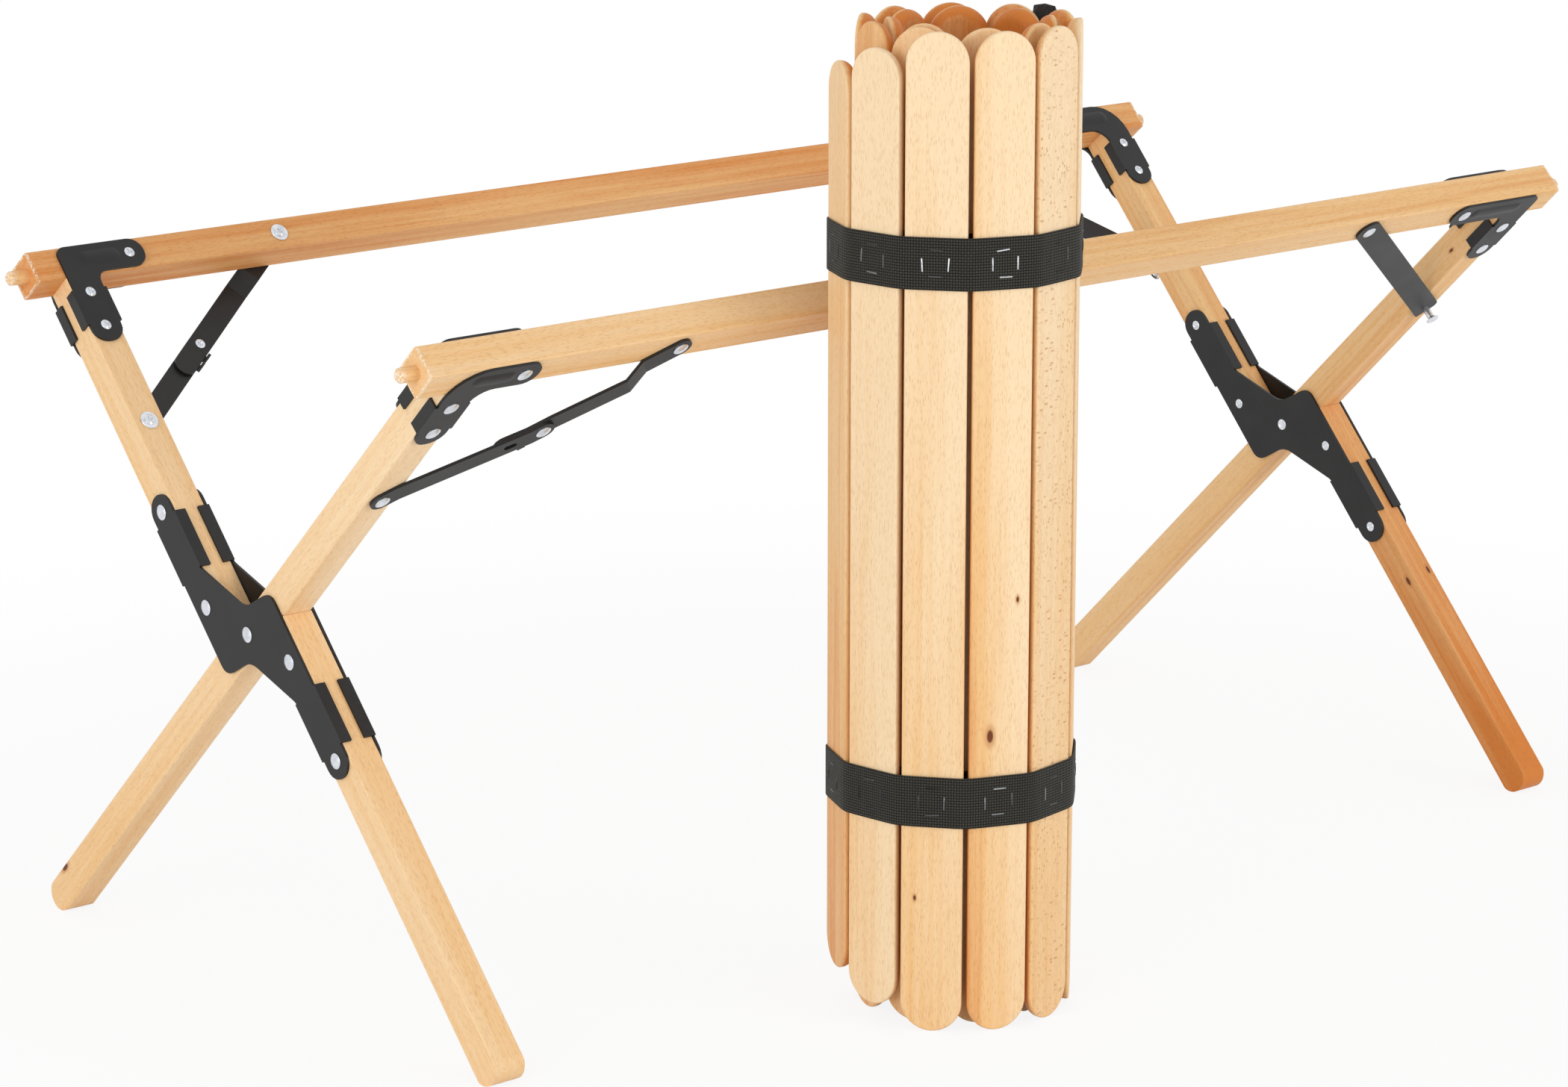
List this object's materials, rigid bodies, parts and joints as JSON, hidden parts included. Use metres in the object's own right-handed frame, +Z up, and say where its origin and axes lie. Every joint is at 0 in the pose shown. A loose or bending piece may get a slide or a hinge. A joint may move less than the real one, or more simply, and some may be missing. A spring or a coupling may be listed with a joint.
{
  "type": "roll top camp table",
  "caption": "Folding camp table of beech: two U-frames crossed like scissors with pressed steel joints and stays, and a slatted top rolled up on webbing straps beside it.",
  "frame": {"origin": "on the floor, under the middle of the whole outline", "axes": "X along the rails to the right, Y to the back, Z up"},
  "size_m": [0.9972, 0.5883, 0.601],
  "materials": {
    "beech": "clear satin lacquer",
    "coated_steel": "satin black powder coat",
    "zinc_plate": "bright zinc plate",
    "webbing": "woven polypropylene"
  },
  "bodies": {
    "back_frame": {"back_rail": "beech", "back_rail_pegs": "beech", "left_upper_leg": "beech", "left_lower_leg": "beech", "right_upper_leg": "beech", "right_lower_leg": "beech", "left_outer_cross_plate": "coated_steel", "left_inner_cross_plate": "coated_steel", "right_outer_cross_plate": "coated_steel", "right_inner_cross_plate": "coated_steel", "back_left_bracket": "coated_steel", "back_right_bracket": "coated_steel", "back_left_rail_link": "coated_steel", "back_left_leg_link": "coated_steel", "back_right_stay": "coated_steel", "cross_rivets": "zinc_plate", "cross_pivot_pins": "zinc_plate", "back_bracket_bolts": "zinc_plate", "back_stay_rivet": "zinc_plate", "back_stay_bolts": "zinc_plate"},
    "front_frame": {"front_rail": "beech", "front_rail_pegs": "beech", "left_through_leg": "beech", "right_through_leg": "beech", "front_left_bracket": "coated_steel", "front_right_bracket": "coated_steel", "front_left_rail_link": "coated_steel", "front_left_leg_link": "coated_steel", "front_right_stay": "coated_steel", "front_bracket_bolts": "zinc_plate", "front_stay_rivet": "zinc_plate", "front_stay_bolts": "zinc_plate"},
    "slat_01": {"slat_01": "beech"},
    "slat_02": {"slat_02": "beech"},
    "slat_03": {"slat_03": "beech"},
    "slat_04": {"slat_04": "beech"},
    "slat_05": {"slat_05": "beech"},
    "slat_06": {"slat_06": "beech"},
    "slat_07": {"slat_07": "beech"},
    "slat_08": {"slat_08": "beech", "hook_loop_tab": "webbing"},
    "slat_09": {"slat_09": "beech"},
    "slat_10": {"slat_10": "beech", "upper_strap": "webbing", "lower_strap": "webbing"},
    "slat_11": {"slat_11": "beech"},
    "slat_12": {"slat_12": "beech"},
    "slat_13": {"slat_13": "beech"},
    "slat_14": {"slat_14": "beech"},
    "slat_15": {"slat_15": "beech"},
    "slat_16": {"slat_16": "beech"},
    "slat_17": {"slat_17": "beech"},
    "slat_18": {"slat_18": "beech"},
    "slat_19": {"slat_19": "beech"},
    "slat_20": {"slat_20": "beech"},
    "slat_21": {"slat_21": "beech"},
    "slat_22": {"slat_22": "beech"},
    "slat_23": {"slat_23": "beech"}
  },
  "joints": [
    {"name": "frame_fold", "type": "hinge", "parent": "back_frame", "child": "front_frame", "pos_m": [0, 0.06335, 0.227], "axis": [1, 0, 0], "range_deg": [-85, 0]},
    {"name": "top_lift", "type": "slide", "parent": "back_frame", "child": "slat_10", "axis": [0, 0, 1], "range_m": [0, 0.45]},
    {"name": "top_unroll", "type": "hinge", "parent": "slat_10", "child": "slat_11", "pos_m": [-0.16569, -0.15515, 0.3], "axis": [0, 0, -1], "range_deg": [0, 34.65], "deforming": ["upper_strap", "lower_strap"]},
    {"name": "unroll_slat_12", "type": "hinge", "parent": "slat_11", "child": "slat_12", "pos_m": [-0.19833, -0.18062, 0.3], "axis": [0, 0, -1], "range_deg": [0, 35.51]},
    {"name": "unroll_slat_13", "type": "hinge", "parent": "slat_12", "child": "slat_13", "pos_m": [-0.20881, -0.22067, 0.3], "axis": [0, 0, -1], "range_deg": [0, 36.42]},
    {"name": "unroll_slat_14", "type": "hinge", "parent": "slat_13", "child": "slat_14", "pos_m": [-0.1922, -0.2586, 0.3], "axis": [0, 0, -1], "range_deg": [0, 37.41]},
    {"name": "unroll_slat_15", "type": "hinge", "parent": "slat_14", "child": "slat_15", "pos_m": [-0.15531, -0.27738, 0.3], "axis": [0, 0, -1], "range_deg": [0, 38.48]},
    {"name": "unroll_slat_16", "type": "hinge", "parent": "slat_15", "child": "slat_16", "pos_m": [-0.11505, -0.26773, 0.3], "axis": [0, 0, -1], "range_deg": [0, 39.64]},
    {"name": "unroll_slat_17", "type": "hinge", "parent": "slat_16", "child": "slat_17", "pos_m": [-0.09142, -0.23373, 0.3], "axis": [0, 0, -1], "range_deg": [0, 40.92]},
    {"name": "unroll_slat_18", "type": "hinge", "parent": "slat_17", "child": "slat_18", "pos_m": [-0.09737, -0.19276, 0.3], "axis": [0, 0, -1], "range_deg": [0, 42.34]},
    {"name": "unroll_slat_19", "type": "hinge", "parent": "slat_18", "child": "slat_19", "pos_m": [-0.13034, -0.16773, 0.3], "axis": [0, 0, -1], "range_deg": [0, 43.91]},
    {"name": "unroll_slat_20", "type": "hinge", "parent": "slat_19", "child": "slat_20", "pos_m": [-0.17123, -0.17421, 0.3], "axis": [0, 0, -1], "range_deg": [0, 45.68]},
    {"name": "unroll_slat_21", "type": "hinge", "parent": "slat_20", "child": "slat_21", "pos_m": [-0.19375, -0.20895, 0.3], "axis": [0, 0, -1], "range_deg": [0, 47.67]},
    {"name": "unroll_slat_22", "type": "hinge", "parent": "slat_21", "child": "slat_22", "pos_m": [-0.18149, -0.2485, 0.3], "axis": [0, 0, -1], "range_deg": [0, 49.96]},
    {"name": "unroll_slat_23", "type": "hinge", "parent": "slat_22", "child": "slat_23", "pos_m": [-0.14263, -0.26279, 0.3], "axis": [0, 0, -1], "range_deg": [0, 52.62]},
    {"name": "unroll_slat_09", "type": "hinge", "parent": "slat_10", "child": "slat_09", "pos_m": [-0.12431, -0.15407, 0.3], "axis": [0, 0, 1], "range_deg": [0, 33.88]},
    {"name": "unroll_slat_08", "type": "hinge", "parent": "slat_09", "child": "slat_08", "pos_m": [-0.09004, -0.1773, 0.3], "axis": [0, 0, 1], "range_deg": [0, 33.15]},
    {"name": "unroll_slat_07", "type": "hinge", "parent": "slat_08", "child": "slat_07", "pos_m": [-0.07522, -0.21596, 0.3], "axis": [0, 0, 1], "range_deg": [0, 32.46]},
    {"name": "unroll_slat_06", "type": "hinge", "parent": "slat_07", "child": "slat_06", "pos_m": [-0.08464, -0.25627, 0.3], "axis": [0, 0, 1], "range_deg": [0, 31.81]},
    {"name": "unroll_slat_05", "type": "hinge", "parent": "slat_06", "child": "slat_05", "pos_m": [-0.11474, -0.2847, 0.3], "axis": [0, 0, 1], "range_deg": [0, 31.2]},
    {"name": "unroll_slat_04", "type": "hinge", "parent": "slat_05", "child": "slat_04", "pos_m": [-0.15544, -0.29229, 0.3], "axis": [0, 0, 1], "range_deg": [0, 30.62]},
    {"name": "unroll_slat_03", "type": "hinge", "parent": "slat_04", "child": "slat_03", "pos_m": [-0.19391, -0.277, 0.3], "axis": [0, 0, 1], "range_deg": [0, 30.08]},
    {"name": "unroll_slat_02", "type": "hinge", "parent": "slat_03", "child": "slat_02", "pos_m": [-0.21865, -0.24381, 0.3], "axis": [0, 0, 1], "range_deg": [0, 29.56]},
    {"name": "unroll_slat_01", "type": "hinge", "parent": "slat_02", "child": "slat_01", "pos_m": [-0.2227, -0.20261, 0.3], "axis": [0, 0, 1], "range_deg": [0, 29.07]}
  ],
  "couplings": [
    {"joint": "unroll_slat_12", "follows": "top_unroll", "ratio": 1.0244},
    {"joint": "unroll_slat_13", "follows": "top_unroll", "ratio": 1.0506},
    {"joint": "unroll_slat_14", "follows": "top_unroll", "ratio": 1.079},
    {"joint": "unroll_slat_15", "follows": "top_unroll", "ratio": 1.1099},
    {"joint": "unroll_slat_16", "follows": "top_unroll", "ratio": 1.1435},
    {"joint": "unroll_slat_17", "follows": "top_unroll", "ratio": 1.1805},
    {"joint": "unroll_slat_18", "follows": "top_unroll", "ratio": 1.2213},
    {"joint": "unroll_slat_19", "follows": "top_unroll", "ratio": 1.2667},
    {"joint": "unroll_slat_20", "follows": "top_unroll", "ratio": 1.3177},
    {"joint": "unroll_slat_21", "follows": "top_unroll", "ratio": 1.3753},
    {"joint": "unroll_slat_22", "follows": "top_unroll", "ratio": 1.4414},
    {"joint": "unroll_slat_23", "follows": "top_unroll", "ratio": 1.5182},
    {"joint": "unroll_slat_09", "follows": "top_unroll", "ratio": 0.97729},
    {"joint": "unroll_slat_08", "follows": "top_unroll", "ratio": 0.95607},
    {"joint": "unroll_slat_07", "follows": "top_unroll", "ratio": 0.93618},
    {"joint": "unroll_slat_06", "follows": "top_unroll", "ratio": 0.91749},
    {"joint": "unroll_slat_05", "follows": "top_unroll", "ratio": 0.89987},
    {"joint": "unroll_slat_04", "follows": "top_unroll", "ratio": 0.88324},
    {"joint": "unroll_slat_03", "follows": "top_unroll", "ratio": 0.8675},
    {"joint": "unroll_slat_02", "follows": "top_unroll", "ratio": 0.85257},
    {"joint": "unroll_slat_01", "follows": "top_unroll", "ratio": 0.8384}
  ]
}
